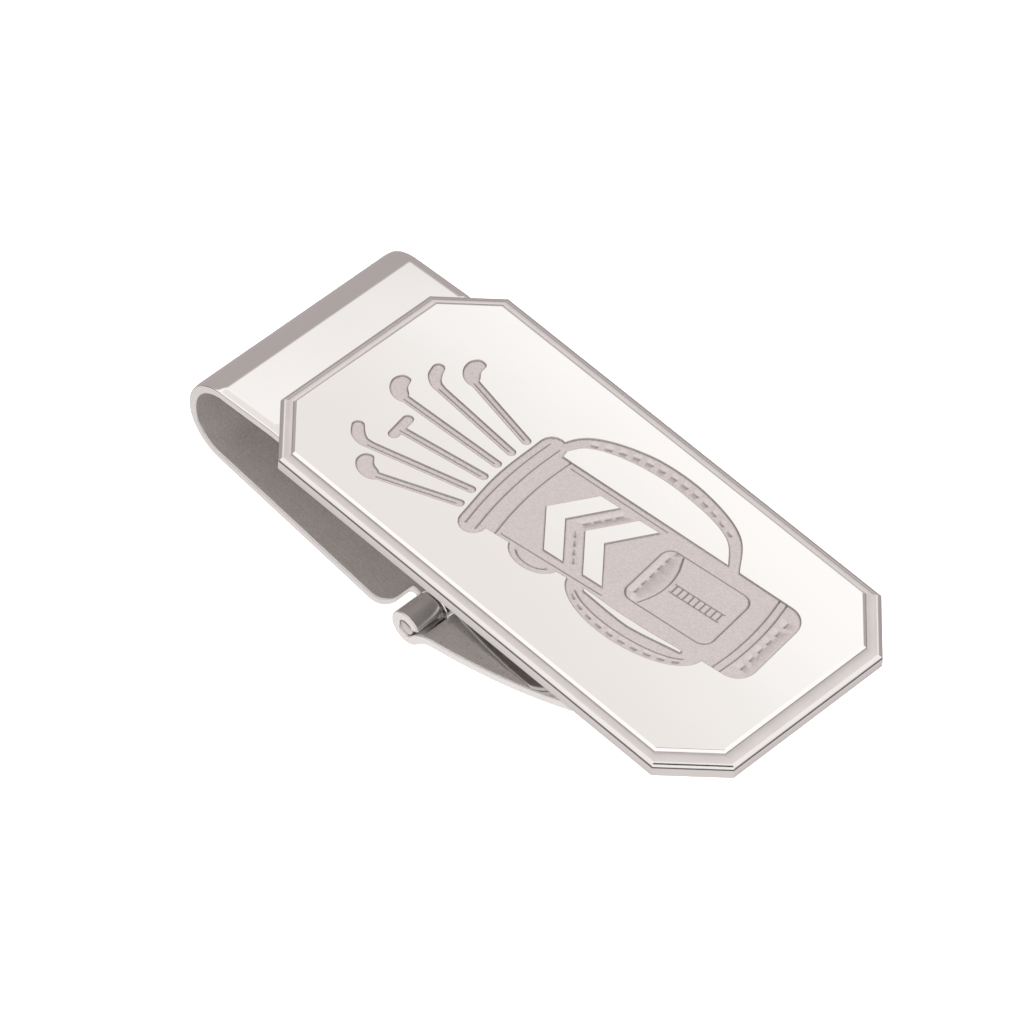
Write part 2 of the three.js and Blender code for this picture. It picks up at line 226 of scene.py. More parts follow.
def sheet_piece(name, path, outline, thickness, edge, body, node, material, shoulder=None):
    """Sheet metal cut to a flat outline of (length, y) points, with rounded edges, then bent.

    The left side of the path is the face called "left"; an attribute tells the faces apart.
    A shoulder is a strip of that width along the left face's edges that falls away to that
    slope, between two lengths: (width, slope, first, last).
    """
    ends = {round(s, 5) for s in (0.0, path.length)}
    stations = [s for s in path.station_list() if s not in ends]
    flat = np.array(split_at_stations(outline, stations))
    mitres = outward_mitres(flat)
    outwards = unit(mitres)
    count = len(flat)

    levels = []  # (inset, height, turn of the normal), with more inset, drop and turn on a shoulder
    for k in range(EDGE_STEPS + 1):
        angle = k / EDGE_STEPS * math.pi / 2
        height = thickness / 2 - edge * (1 - math.cos(angle))
        levels.append((edge * (1 - math.sin(angle)), height, angle))
    lower = [(inset, -height, math.pi - angle, 0, 0, 0) for inset, height, angle in reversed(levels)]
    width, slope, first, last = shoulder or (0, 0, 0, 0)
    fall = width * slope / 2
    levels = [(i, h, a, 0, fall, max(slope - a, 0)) for i, h, a in levels]
    if shoulder:
        for k in range(SHOULDER_STEPS - 1, -1, -1):
            u = k / SHOULDER_STEPS
            levels.insert(0, (edge, thickness / 2, 0, width * (1 - u), fall * u * u, slope * u))
    levels += lower

    verts, normals, side = [], [], []
    fade_in = np.clip((flat[:, :1] - first) / SHOULDER_FADE, 0, 1)
    fade_out = np.clip((last - flat[:, :1]) / SHOULDER_FADE, 0, 1)
    share = fade_in * fade_out
    for inset, level_height, level_angle, more_inset, drop, turn in levels:
        ring = flat - mitres * (inset + more_inset * share)
        for (s, y), out, part in zip(ring, outwards, share[:, 0]):
            height, angle = level_height - drop * part, level_angle + turn * part
            x, z, a = path.at(min(max(s, 0.0), path.length))
            over = min(s, 0.0) + max(s - path.length, 0.0)
            along = np.array([math.cos(a), 0, math.sin(a)])
            up = np.array([-math.sin(a), 0, math.cos(a)])
            verts.append(np.array([x, BAND_Y + y, z]) + up * height + along * over)
            flat_out = along * out[0] + np.array([0, out[1], 0])
            normals.append(up * math.cos(angle) + flat_out * math.sin(angle))
            side.append(0.5 + 0.5 * math.cos(angle))

    faces = ring_faces(len(levels), count, reverse=True)
    crossings = []
    for s in stations:
        hits = [i for i in range(count) if abs(flat[i][0] - s) < 1e-4]
        hits.sort(key=lambda i: flat[i][1])
        if len(hits) % 2 == 0:
            crossings += list(zip(hits[::2], hits[1::2]))
    ring = [Vector(p) for p in flat - mitres * edge]
    _, _, triangles, origin, _, _ = delaunay_2d_cdt(ring, crossings, [list(range(count))], 1, 1e-7)
    index = [o[0] if o else -1 for o in origin]
    last_ring = (len(levels) - 1) * count
    for t in triangles:
        corners = [index[i] for i in t]
        if -1 in corners or len(set(corners)) < 3:
            continue
        faces.append(tuple(corners))
        faces.append(tuple(last_ring + i for i in reversed(corners)))
    piece = make_object(name, verts, faces, body, node, material, normals)
    add_attribute(piece, "left_face", side)


def arc(cx, cy, radius, start, end, steps):
    """Points on an arc, in degrees."""
    return [
        (cx + radius * math.cos(math.radians(start + (end - start) * i / steps)),
         cy + radius * math.sin(math.radians(start + (end - start) * i / steps)))
        for i in range(steps + 1)
    ]


def mirrored(half):
    """The closed counter-clockwise outline whose lower half is drawn from low length to high."""
    return half + [(s, -y) for s, y in reversed(half)]


def rolled_knuckle(slope, side, neck_radius):
    """The start and first moves of a strip that is rolled round the hinge's pin."""
    reach = math.sqrt(CURL_RADIUS**2 + 2 * CURL_RADIUS * neck_radius)
    release = math.atan2(neck_radius, reach)
    away = slope if side > 0 else slope + math.pi
    polar = away + side * CURL_SEAM
    start = (
        HINGE[0] + CURL_RADIUS * math.cos(polar),
        HINGE[2] + CURL_RADIUS * math.sin(polar),
        polar - side * math.radians(270),
    )
    moves = [
        ("bend", CURL_RADIUS, side * (2 * math.pi - release - CURL_SEAM)),
        ("bend", neck_radius, side * (release - math.pi / 2)),
    ]
    return start, moves, reach


# ---- materials ----


RANGE_SOCKETS = ("From Min", "From Max", "To Min", "To Max")


class Graph:
    """The nodes of a material or of the world."""

    def __init__(self, owner):
        self.owner = owner
        owner.use_nodes = True
        self.nodes, self.links = owner.node_tree.nodes, owner.node_tree.links

    def link(self, source, target):
        self.links.new(source, target)

    def attribute(self, name):
        node = self.nodes.new("ShaderNodeAttribute")
        node.attribute_name = name
        return node.outputs["Fac"]

    def place(self, scale):
        """Object coordinates, scaled per axis, in cells per millimetre."""
        where = self.nodes.new("ShaderNodeTexCoord")
        mapping = self.nodes.new("ShaderNodeMapping")
        mapping.inputs["Scale"].default_value = [v / MM for v in scale]
        self.link(where.outputs["Object"], mapping.inputs["Vector"])
        return mapping.outputs["Vector"]

    def noise(self, scale, detail=3.0, roughness=0.55):
        node = self.nodes.new("ShaderNodeTexNoise")
        node.inputs["Scale"].default_value = 1.0
        node.inputs["Detail"].default_value = detail
        node.inputs["Roughness"].default_value = roughness
        self.link(self.place(scale), node.inputs["Vector"])
        return node.outputs["Fac"]

    def remap(self, value, low, high, to_low, to_high, interpolation="LINEAR"):
        node = self.nodes.new("ShaderNodeMapRange")
        node.interpolation_type = interpolation
        for name, number in zip(RANGE_SOCKETS, (low, high, to_low, to_high)):
            node.inputs[name].default_value = number
        self.link(value, node.inputs["Value"])
        return node.outputs["Result"]

    def math(self, operation, a, b):
        node = self.nodes.new("ShaderNodeMath")
        node.operation = operation
        for socket, value in zip(node.inputs, (a, b)):
            if isinstance(value, (int, float)):
                socket.default_value = value
            else:
                self.link(value, socket)
        return node.outputs["Value"]

    def mix(self, factor, a, b):
        """A colour between a and b, each a colour or a socket."""
        node = self.nodes.new("ShaderNodeMix")
        node.data_type = "RGBA"
        self.link(factor, node.inputs["Factor"])
        for socket, value in ((node.inputs["A"], a), (node.inputs["B"], b)):
            if isinstance(value, tuple):
                socket.default_value = (*value, 1)
            else:
                self.link(value, socket)
        return node.outputs["Result"]

    def bump(self, height, distance, strength=1.0, after=None):
        node = self.nodes.new("ShaderNodeBump")
        node.inputs["Distance"].default_value = distance * MM
        node.inputs["Strength"].default_value = strength
        self.link(height, node.inputs["Height"])
        if after is not None:
            self.link(after, node.inputs["Normal"])
        return node.outputs["Normal"]


def new_material(name, metallic=1.0):
    """A material's nodes and the sockets of its one Principled shader."""
    g = Graph(bpy.data.materials.new(name))
    sockets = g.nodes["Principled BSDF"].inputs
    sockets["Metallic"].default_value = metallic
    return g, sockets


POLISHED = (0.91, 0.895, 0.885)
SATIN = (0.71, 0.665, 0.655)
GRAIN_HEIGHT = 0.0045  # of the grain on a rough face
LEAST_GRAIN = 0.03  # the share of it that a polished face keeps
TURNED_GRAIN_HEIGHT = 0.003


def two_faced_metal(name, left, right, grain):
    """A finish for each face of the sheet, as (colour, roughness, metallic share).

    The rougher a face is, the more grain it shows; the edges between them are rubbed smooth.
    """
    g, shader = new_material(name)
    face = g.attribute("left_face")
    share = g.remap(face, 0.35, 0.65, 0, 1)
    from_rim = g.math("ABSOLUTE", g.math("SUBTRACT", face, 0.5), 0.0)
    off_rim = g.remap(from_rim, 0.2, 0.48, 0, 1)
    lines = g.noise(grain, 4.0, 0.6)
    fine = g.noise((7.0, 7.0, 7.0), 2.0, 0.8)
    cloud = g.noise((0.12, 0.15, 0.12), 1.0)
    rough = g.remap(share, 0, 1, right[1], left[1])
    coarse = g.math("MULTIPLY", g.remap(rough, 0.08, 0.4, 0.0, 1.0), off_rim)
    mixed = g.math("ADD", g.math("MULTIPLY", fine, 1.4), g.math("MULTIPLY", lines, 0.6))
    speckle = g.math("MULTIPLY", g.remap(mixed, 0.7, 1.3, -0.16, 0.13), coarse)
    tint = g.math("ADD", g.remap(cloud, 0.3, 0.7, 0.985, 1.01), speckle)
    shade = g.nodes.new("ShaderNodeVectorMath")
    shade.operation = "SCALE"
    g.link(g.mix(share, right[0], left[0]), shade.inputs[0])
    g.link(tint, shade.inputs["Scale"])
    g.link(shade.outputs["Vector"], shader["Base Color"])
    g.link(g.remap(share, 0, 1, right[2], left[2]), shader["Metallic"])
    wander = g.math("MULTIPLY", g.remap(lines, 0.3, 0.7, 0.9, 1.1), g.remap(off_rim, 0, 1, 0.5, 1))
    g.link(g.math("MULTIPLY", rough, wander), shader["Roughness"])
    height = g.math("MULTIPLY", mixed, g.math("ADD", coarse, LEAST_GRAIN))
    g.link(g.bump(height, GRAIN_HEIGHT), shader["Normal"])
    return g.owner


def plain_metal(name, colour, rough, grain):
    """Turned or drawn metal, with faint cloudy darkening and a roughness that wanders."""
    g, shader = new_material(name)
    lines = g.noise(grain, 3.0)
    cloud = g.noise((0.6, 0.6, 0.6), 2.0)
    darker = tuple(0.86 * c for c in colour)
    g.link(g.mix(g.remap(cloud, 0.35, 0.65, 0, 1), colour, darker), shader["Base Color"])
    g.link(g.remap(lines, 0.3, 0.7, 0.8 * rough, 1.25 * rough), shader["Roughness"])
    g.link(g.bump(lines, TURNED_GRAIN_HEIGHT), shader["Normal"])
    return g.owner


def plate_metal():
    """Mirror polish, a satin border, and a matt etched floor whose corners and lines are darkened with
    patina and painted shade.
    """
    g, shader = new_material("front_plate_metal")
    etch, dark, satin = (g.attribute(n) for n in ("etch", "dark", "satin"))
    cloud = g.noise((0.5, 0.5, 0.5), 3.0)
    mottled = g.noise((5.0, 5.0, 5.0), 4.0, 0.7)
    floor = g.mix(g.remap(mottled, 0.3, 0.7, 0, 1), ETCH_LIGHT, ETCH_DARK)
    worn = g.mix(g.remap(cloud, 0.35, 0.65, 0, 1), SATIN, tuple(0.96 * c for c in SATIN))
    base = g.mix(satin, POLISHED, worn)
    base = g.mix(etch, base, floor)
    # Patina and painted shade: the dark attribute darkens the etching's corners, its lines and the
    # groove at the bevel's foot.
    base = g.mix(dark, base, PATINA_AND_SHADE)
    g.link(base, shader["Base Color"])
    rough = g.remap(satin, 0, 1, 0.05, 0.28)
    rough = g.math("MAXIMUM", rough, g.remap(etch, 0, 1, 0.0, 0.42))
    g.link(g.math("ADD", rough, g.remap(cloud, 0.3, 0.7, -0.01, 0.02)), shader["Roughness"])
    across = g.nodes.new("ShaderNodeSeparateXYZ")
    g.link(g.place((1, 1, 1)), across.inputs["Vector"])
    y = across.outputs["Y"]
    crown = g.math("MULTIPLY", y, g.math("MULTIPLY", y, -1.0))
    grain = g.math("MULTIPLY", g.noise((14.0, 14.0, 14.0), 2.0), etch)
    brushed = g.math("MULTIPLY", g.noise((1.2, 1.2, 6.0), 3.0), satin)
    normal = g.bump(crown, POLISH_CROWN)
    normal = g.bump(g.noise((0.09, 0.11, 0.1), 1.0), POLISH_WAVES, 1.0, normal)
    normal = g.bump(grain, ETCH_GRAIN, 1.0, normal)
    normal = g.bump(brushed, BRUSHED_GRAIN, 1.0, normal)
    g.link(normal, shader["Normal"])
    return g.owner


ETCH_LIGHT = (0.82, 0.755, 0.74)
ETCH_DARK = (0.68, 0.62, 0.605)
PATINA_AND_SHADE = (0.16, 0.14, 0.135)  # patina and painted shade, darkening the corners and lines of the etching
POLISH_CROWN = 0.0005  # how fast the polished face falls away from its middle, in 1/mm
POLISH_WAVES, ETCH_GRAIN, BRUSHED_GRAIN = 0.015, 0.014, 0.004  # heights

# ---- front plate ----

ETCH_DEPTH = 0.15
WALL = 0.05  # width of the slope at the edge of the etching
LIP = 0.02  # width of the softened edge above it
LIP_DROP, LIP_ETCH = 0.018, 0.35  # how far the lip falls, and its share of the etched look
LINE_HALF, LINE_DEPTH = 0.11, 0.09
DASH_HALF, DASH_DEPTH = 0.15, 0.09
SHADE_REACH = 0.12  # how far the dark in the corner of the floor spreads
CORNER_SHADE, LINE_SHADE = 0.5, 0.65  # how dark it is there, and in the lines
CURVE_SPACING = 0.14  # between the points of the picture's curves
ELLIPSE_SPACING = 0.03  # a point for each such length of the long half
STITCH = 0.45  # length


def between(low, high, t, a, b):
    """What is at t, on the line that is at a for low and at b for high."""
    return (high - t) / (high - low) * a + (t - low) / (high - low) * b


def smooth(points, closed=False):
    """A centripetal Catmull-Rom curve through the points."""
    p = np.array(points, float)
    n = len(p)
    if closed:
        p = np.vstack([p[-1:], p, p[:2]])
    else:
        p = np.vstack([2 * p[0] - p[1], p, 2 * p[-1] - p[-2]])
    found = []
    for i in range(1, n + 1 if closed else n):
        a, b, c, d = p[i - 1 : i + 3]
        t1 = max(np.linalg.norm(b - a) ** 0.5, 1e-6)
        t2 = t1 + max(np.linalg.norm(c - b) ** 0.5, 1e-6)
        t3 = t2 + max(np.linalg.norm(d - c) ** 0.5, 1e-6)
        steps = max(1, round(np.linalg.norm(c - b) / CURVE_SPACING))
        for k in range(steps):
            t = t1 + (t2 - t1) * k / steps
            ab, bc = between(0, t1, t, a, b), between(t1, t2, t, b, c)
            cd = between(t2, t3, t, c, d)
            abc, bcd = between(0, t2, t, ab, bc), between(t1, t3, t, bc, cd)
            found.append(between(t1, t2, t, abc, bcd))
    if not closed:
        found.append(np.array(points[-1], float))
    return [tuple(f) for f in found]


def ribbon(points, widths):
    """A closed outline of a band of changing width round a smooth centreline, with round ends."""
    line = np.array(smooth(points))
    half = np.interp(np.linspace(0, 1, len(line)), np.linspace(0, 1, len(widths)), widths) / 2
    sideways = outward_mitres(line, closed=False)
    right = line + sideways * half[:, None]
    left = line - sideways * half[:, None]

    def cap(centre, radius, towards):
        start = math.degrees(math.atan2(towards[1], towards[0]))
        return arc(centre[0], centre[1], radius, start - 70, start + 70, 6)

    end = cap(line[-1], half[-1], unit(line[-1] - line[-2]))
    beginning = cap(line[0], half[0], unit(line[0] - line[1]))
    return [tuple(p) for p in [*right, *end, *left[::-1], *beginning]]


# A plain golf bag, made up from arcs, ellipses and straight lines. It is drawn along its own
# axis in (u, v): u from its foot to its mouth and on along the clubs, v towards its strap.
FOOT, TILT = (19.6, 2.2), math.radians(7)
BODY_END, BODY_HALF, FOOT_HALF, FOOT_CORNER = 25.9, 4.9, 4.4, 1.8
COLLAR_U, COLLAR_HALF, COLLAR_WIDTH, COLLAR_BOW = 26.2, 5.0, 2.4, 0.4
SHAFT_WIDTH = 0.8
WOOD_HEAD = [  # along the shaft from its end, and across it
    (-0.3, -0.4), (0.7, -0.5), (1.6, 0.1), (1.95, 1.0),
    (1.6, 1.75), (0.85, 1.8), (0.45, 1.0), (-0.2, 0.4),
]
CLUBS = [  # the length of each shaft, and its head
    (7.2, "wood"), (9.4, "iron"), (8.2, "putter"),
    (10.0, "wood"), (8.8, "iron"), (7.4, "wood"),
]
CLUBS_SPREAD, CLUBS_FAN = 8.4, math.radians(34)
SOLIDS, ISLANDS, LINES, DASHES = [], [], [], []  # etched, left standing in it, engraved, stitched


def placed(points):
    """Points of the drawing, on the plate, with the bag's mouth towards the loop."""
    c, s = math.cos(TILT), math.sin(TILT)
    return [(FOOT[0] - c * u - s * v, FOOT[1] - s * u + c * v) for u, v in points]


def draw(where, *shapes):
    where.extend(placed(shape) for shape in shapes)


def ellipse(u, v, long_half, short_half):
    """An ellipse that lies along the bag."""
    round_it = arc(0, 0, 1, 0, 360, round(long_half / ELLIPSE_SPACING))[:-1]
    return [(u + long_half * p, v + short_half * q) for p, q in round_it]


def across(u, half, bow):
    """A line across the bag, bowed towards its mouth."""
    return smooth([(u + bow * (1 - share**2), half * share) for share in (-1, -0.5, 0, 0.5, 1)])


def stitches(points, pitch=1.1):
    """Short dashes, evenly spaced along a smooth curve."""
    line = np.array(smooth(points))
    walked = np.concatenate([[0], np.cumsum(np.linalg.norm(np.diff(line, axis=0), axis=1))])
    count = round(walked[-1] / pitch)
    for k in range(count):
        middle = walked[-1] * (k + 0.5) / count
        ends = (middle - STITCH / 2, middle + STITCH / 2)
        dash = [tuple(np.interp(s, walked, line[:, axis]) for axis in (0, 1)) for s in ends]
        draw(DASHES, dash)


def draw_body():
    """The bag itself, with bands at its foot and mouth."""
    foot = arc(FOOT_CORNER, FOOT_CORNER - FOOT_HALF, FOOT_CORNER, 180, 270, 8)
    draw(SOLIDS, mirrored(foot + [(BODY_END, -BODY_HALF)]))
    draw(LINES, across(2.3, FOOT_HALF, -0.4), across(3.0, FOOT_HALF, -0.4))
    draw(LINES, across(24.2, BODY_HALF - 0.1, 0.4))
    for side in (-1, 1):  # piping beside the stripes
        draw(LINES, smooth([(14.0, 4.2 * side), (23.8, 4.4 * side)]))
    stitches([(1.1, -3.3), (1.1, 3.3)])


def draw_stripes(half=3.6, point=2.6, width=1.9):
    """Two polished chevrons that point to the mouth, with stitches between them."""
    for u in (14.4, 18.3):
        near = [(u, -half), (u + point, 0), (u, half)]
        draw(ISLANDS, near + [(p + width, q) for p, q in reversed(near)])
    for side in (-1, 1):
        stitches([(17.5, 3.3 * side), (19.6, 0.35 * side)], 1.0)


def draw_front_pocket(first=4.5, last=13.0, half=3.1, corner=1.0):
    """A pocket with round corners, a flap line and a zip."""
    low_corner = arc(first + corner, corner - half, corner, 180, 270, 6)
    high_corner = arc(last - corner, corner - half, corner, 270, 360, 6)
    outline = mirrored(low_corner + high_corner)
    draw(LINES, outline + outline[:1], across(11.4, half - 0.15, -0.8))
    stitches([(12.2, -2.5), (12.2, 2.5)])
    zip_half, teeth = 0.45, 9
    for side in (-1, 1):
        draw(LINES, smooth([(5.4, zip_half * side), (10.2, zip_half * side)]))
    for k in range(teeth):
        u = 5.6 + 4.4 * k / (teeth - 1)
        draw(LINES, [(u, -zip_half), (u, zip_half)])


def draw_side_pockets():
    """A long pocket, with a bright gap between it and the bag, and a short one near the mouth."""
    draw(SOLIDS, ellipse(10.5, -4.3, 6.6, 3.1), ellipse(20.4, -4.4, 2.4, 1.7))
    draw(ISLANDS, ribbon([(5.8, -4.75), (10.5, -5.1), (15.2, -4.75)], [0.2, 0.6, 0.2]))
    lower = arc(0, 0, 1, 205, 335, 16)
    draw(LINES, smooth([(10.5 + 5.9 * p, -4.3 + 2.0 * q) for p, q in lower]))
    draw(LINES, smooth([(20.4 + 1.7 * p, -4.5 + 1.0 * q) for p, q in lower]))
    stitches([(10.5 + 6.1 * p, -4.3 + 2.6 * q) for p, q in lower], 1.2)


def draw_strap():
    """A carrying strap that arches from the mouth to the lower third of the bag."""
    centre = [(26.0, 4.8), (24.4, 7.2), (20.0, 8.7), (14.5, 8.6), (9.6, 7.0), (7.4, 4.2)]
    draw(SOLIDS, ribbon(centre, [0.9, 1.2, 1.5, 1.5, 1.2, 0.9]))
    stitches(centre[1:-1], 1.2)


def draw_collar():
    """The padded ring round the bag's mouth."""
    centre = [(COLLAR_U, -COLLAR_HALF), (COLLAR_U + COLLAR_BOW, 0), (COLLAR_U, COLLAR_HALF)]
    draw(SOLIDS, ribbon(centre, [COLLAR_WIDTH, COLLAR_WIDTH]))
    for u in (COLLAR_U - 0.5, COLLAR_U + 0.5):
        draw(LINES, across(u, COLLAR_HALF + 0.3, COLLAR_BOW))


def club_head(kind, a):
    """A head at the end of a shaft of that length, in (along the shaft, across it)."""
    if kind == "wood":
        return smooth([(a + p, q) for p, q in WOOD_HEAD], closed=True)
    if kind == "iron":
        blade = [(a - 0.4, 0), (a + 0.4, 0.1), (a + 1.1, 0.6), (a + 1.5, 1.3)]
        return ribbon(blade, [SHAFT_WIDTH, 0.95, 1.15, 1.05])
    return ribbon([(a, -0.7), (a, 1.2)], [0.95, 0.95])


def draw_clubs():
    """Straight clubs that fan out of the mouth."""
    for index, (length, kind) in enumerate(CLUBS):
        share = index / (len(CLUBS) - 1) - 0.5
        c, s = math.cos(CLUBS_FAN * share), math.sin(CLUBS_FAN * share)
        u, v = 28.5 - 1.2 * share**2, CLUBS_SPREAD * share

        def turned(points):
            return [(u + c * a - s * b, v + s * a + c * b) for a, b in points]

        shaft = ribbon([(0, 0), (length, 0)], [SHAFT_WIDTH, SHAFT_WIDTH])
        draw(SOLIDS, turned(shaft), turned(club_head(kind, length)))
        draw(LINES, turned(smooth([(0.3, 0), (length - 0.1, 0)])))


draw_body()
draw_stripes()
draw_front_pocket()
draw_side_pockets()
draw_strap()
draw_collar()
draw_clubs()


def counter_clockwise(polygon):
    p = np.array(polygon)
    q = np.roll(p, -1, 0)
    area = (p[:, 0] * q[:, 1] - q[:, 0] * p[:, 1]).sum()
    return [tuple(v) for v in (p if area > 0 else p[::-1])]


def etched_loops(solids, islands):
    """The outlines of what is etched, once overlapping shapes are merged, etched side to the left."""
    points, polygons = [], []
    for shape in [*solids, *islands]:
        polygons.append(list(range(len(points), len(points) + len(shape))))
        points += [Vector(p) for p in shape]
    verts, _, faces, _, _, origin = delaunay_2d_cdt(points, [], polygons, 0, 1e-6)
    ahead = {}
    for face, owners in zip(faces, origin):
        inside = any(o < len(solids) for o in owners) and not any(o >= len(solids) for o in owners)
        if inside:
            for i in range(len(face)):
                ahead[(face[i], face[(i + 1) % len(face)])] = True
    border = {}
    for a, b in ahead:
        if (b, a) not in ahead:
            border.setdefault(a, []).append(b)
    loops = []
    while border:
        start = min(border)
        at, loop = start, []
        while at in border:
            loop.append(at)
            following = border[at].pop()
            if not border[at]:
                del border[at]
            at = following
        loops.append([tuple(verts[i]) for i in loop])
    return [thinned(loop) for loop in loops if len(loop) > 6]


def thinned(loop, least=0.02):
    """The loop without points that lie closer together than that."""
    kept = [loop[0]]
    for p in loop[1:]:
        if math.dist(p, kept[-1]) >= least and math.dist(p, kept[0]) >= least:
            kept.append(p)
    return kept


def distance_tree(polylines, closed):
    """A function from (x, y) to the distance to the nearest of the polylines."""
    verts, faces = [], []
    for line in polylines:
        base, n = len(verts), len(line)
        for x, y in line:
            verts += [(x, y, -1.0), (x, y, 1.0)]
        for i in range(n if closed else n - 1):
            j = (i + 1) % n
            faces.append((base + 2 * i, base + 2 * j, base + 2 * j + 1, base + 2 * i + 1))
    tree = BVHTree.FromPolygons(verts, faces)
    return lambda x, y: tree.find_nearest((x, y, 0.0))[3]


def beside_line(line, half):
    """A closed narrow outline round an open polyline."""
    p = np.array(line, float)
    sideways = outward_mitres(p, closed=False) * half
    ahead, back = unit(p[-1] - p[-2]) * half, unit(p[0] - p[1]) * half
    turn = 0.7071
    ends = [p[-1] + (ahead + sideways[-1]) * turn, p[-1] + ahead, p[-1] + (ahead - sideways[-1]) * turn]
    starts = [p[0] + (back - sideways[0]) * turn, p[0] + back, p[0] + (back + sideways[0]) * turn]
    return [tuple(v) for v in [*(p + sideways), *ends, *(p - sideways)[::-1], *starts]]


def inset_octagon(length, width, corner, inset, centre=(0.0, 0.0)):
    """An octagon, cut by that corner at 45 degrees, moved in by that much on every side."""
    x, y = (length - 2 * inset) / 2, (width - 2 * inset) / 2
    corner -= inset * (2 - math.sqrt(2))
    cx, cy = centre
    return [(cx + a, cy + b) for a, b in [
        (-x, -y + corner), (-x + corner, -y), (x - corner, -y), (x, -y + corner),
        (x, y - corner), (x - corner, y), (-x + corner, y), (-x, y - corner)]]


SIDES = 8
PLATE_CORNER = 4.5
PANEL_LENGTH, PANEL_WIDTH, PANEL_CORNER = 47.85, 22.85, 3.75
PANEL_CENTRE = (-0.24, 0.08)
PANEL_BEVEL = 0.25
LOW_ROUND, TOP_ROUND = 0.15, 0.45
LOW_STEPS, TOP_STEPS, CROWN_STEPS = 5, 8, 8
CROWN = 0.035  # the border's middle stands this far above its edges
GROOVE = 0.03
TOP_MARGIN = 0.1  # between the panel's edge and the first line inside it


def plate_rings():
    """The plate's octagons, from its underside up and in to the edge of the panel's top.

    Each is (outline, height, share of satin, share of patina and painted shade).
    """
    length, width = (plate_high - plate_low)[:2]
    bottom, top = plate_low[2], plate_high[2]
    border = top - PANEL_RISE

    def body_ring(inset, z):
        return inset_octagon(length, width, PLATE_CORNER, inset), z, 0.5, 0.0

    def panel_ring(outset, drop, satin=0.0, dark=0.0):
        outline = inset_octagon(PANEL_LENGTH, PANEL_WIDTH, PANEL_CORNER, -outset, PANEL_CENTRE)
        return outline, top - drop, satin, dark

    rings = []
    for k in range(LOW_STEPS + 1):
        a = k / LOW_STEPS * math.pi / 2
        rings.append(body_ring(LOW_ROUND * (1 - math.sin(a)), bottom + LOW_ROUND * (1 - math.cos(a))))
    for k in range(TOP_STEPS + 1):
        a = k / TOP_STEPS * math.pi / 2
        rings.append(body_ring(TOP_ROUND * (1 - math.cos(a)), border - TOP_ROUND * (1 - math.sin(a))))
    outer = np.array(inset_octagon(length, width, PLATE_CORNER, TOP_ROUND))
    inner = np.array(panel_ring(PANEL_BEVEL + GROOVE, 0)[0])
    for k in range(CROWN_STEPS + 1):
        t = k / CROWN_STEPS
        rings.append((outer + (inner - outer) * t, border + CROWN * 4 * t * (1 - t), 1.0, 0.0))
    return rings + [
        # The groove at the bevel's foot is darkened with patina and painted shade in the crease.
        panel_ring(PANEL_BEVEL, PANEL_RISE + GROOVE, 0.5, 0.6),
        panel_ring(PANEL_BEVEL - GROOVE, PANEL_RISE - GROOVE, 0.0, 0.2),
        panel_ring(PANEL_BEVEL - 2 * GROOVE, PANEL_RISE - 2 * GROOVE),
        panel_ring(0.035, 0.03),
        panel_ring(0.012, 0.008),
        panel_ring(-0.02, 0.0),
    ]


def cut_top(rim, loops):
    """The panel's top as triangles, cut along the rim, the etching's edges and its lines."""
    points = [Vector(p) for p in rim]
    polygons, edges = [list(range(SIDES))], []

    def add_ring(ring_points, as_polygon=False, closed=True):
        first = len(points)
        points.extend(Vector(p) for p in ring_points)
        n = len(ring_points)
        edges.extend((first + i, first + (i + 1) % n) for i in range(n if closed else n - 1))
        if as_polygon:
            polygons.append(list(range(first, first + n)))

    add_ring(inset_octagon(PANEL_LENGTH, PANEL_WIDTH, PANEL_CORNER, TOP_MARGIN, PANEL_CENTRE))
    for loop in loops:
        add_ring(counter_clockwise(loop), as_polygon=True)
        outwards = outward_mitres(loop)
        for shift in (LIP, -WALL, -WALL - SHADE_REACH):
            add_ring([tuple(p) for p in np.array(loop) + outwards * shift])
    for lines, half in ((LINES, LINE_HALF), (DASHES, DASH_HALF)):
        for line in lines:
            add_ring(line, closed=False)
            add_ring(beside_line(line, half))
    flat, _, triangles, origin, _, owners = delaunay_2d_cdt(points, edges, polygons, 1, 1e-6)
    return flat, triangles, origin, owners


def etched_distances(flat, triangles, owners, loops):
    """How far each point is inside the etching; below zero outside it."""
    touched = [[0, 0] for _ in flat]
    for t, who in zip(triangles, owners):
        etched = sum(1 for o in who if o > 0) % 2
        for i in t:
            touched[i][etched] += 1
    to_wall = distance_tree(loops, True)
    found = []
    for (x, y), (out, inside) in zip(flat, touched):
        away = to_wall(x, y)
        found.append(0.0 if away < 1e-4 else (away if inside > out else -away))
    return found


def relief(signed, from_line, from_dash):
    """The height, share of etching and share of patina and painted shade at a point of the panel's top.
    """
    share = min(max(signed / WALL, 0.0), 1.0)
    lip = min(max(1 + signed / LIP, 0.0), 1.0) * (1 - share)
    z = -ETCH_DEPTH * share - LIP_DROP * lip
    shade = 0.0
    if signed > -1e-6:
        line = 1 - min(from_line / LINE_HALF, 1.0)
        spot = 1 - min(from_dash / DASH_HALF, 1.0)
        z -= share * max(LINE_DEPTH * line, DASH_DEPTH * min(1.0, 2 * spot))
        corner = 1 - min(max((signed - WALL) / SHADE_REACH, 0.0), 1.0)
        shade = max(
            CORNER_SHADE * corner,
            LINE_SHADE * min(1.0, 1.3 * line),
            LINE_SHADE * min(1.0, 1.6 * spot),
        )
    return z, max(share, LIP_ETCH * lip), shade


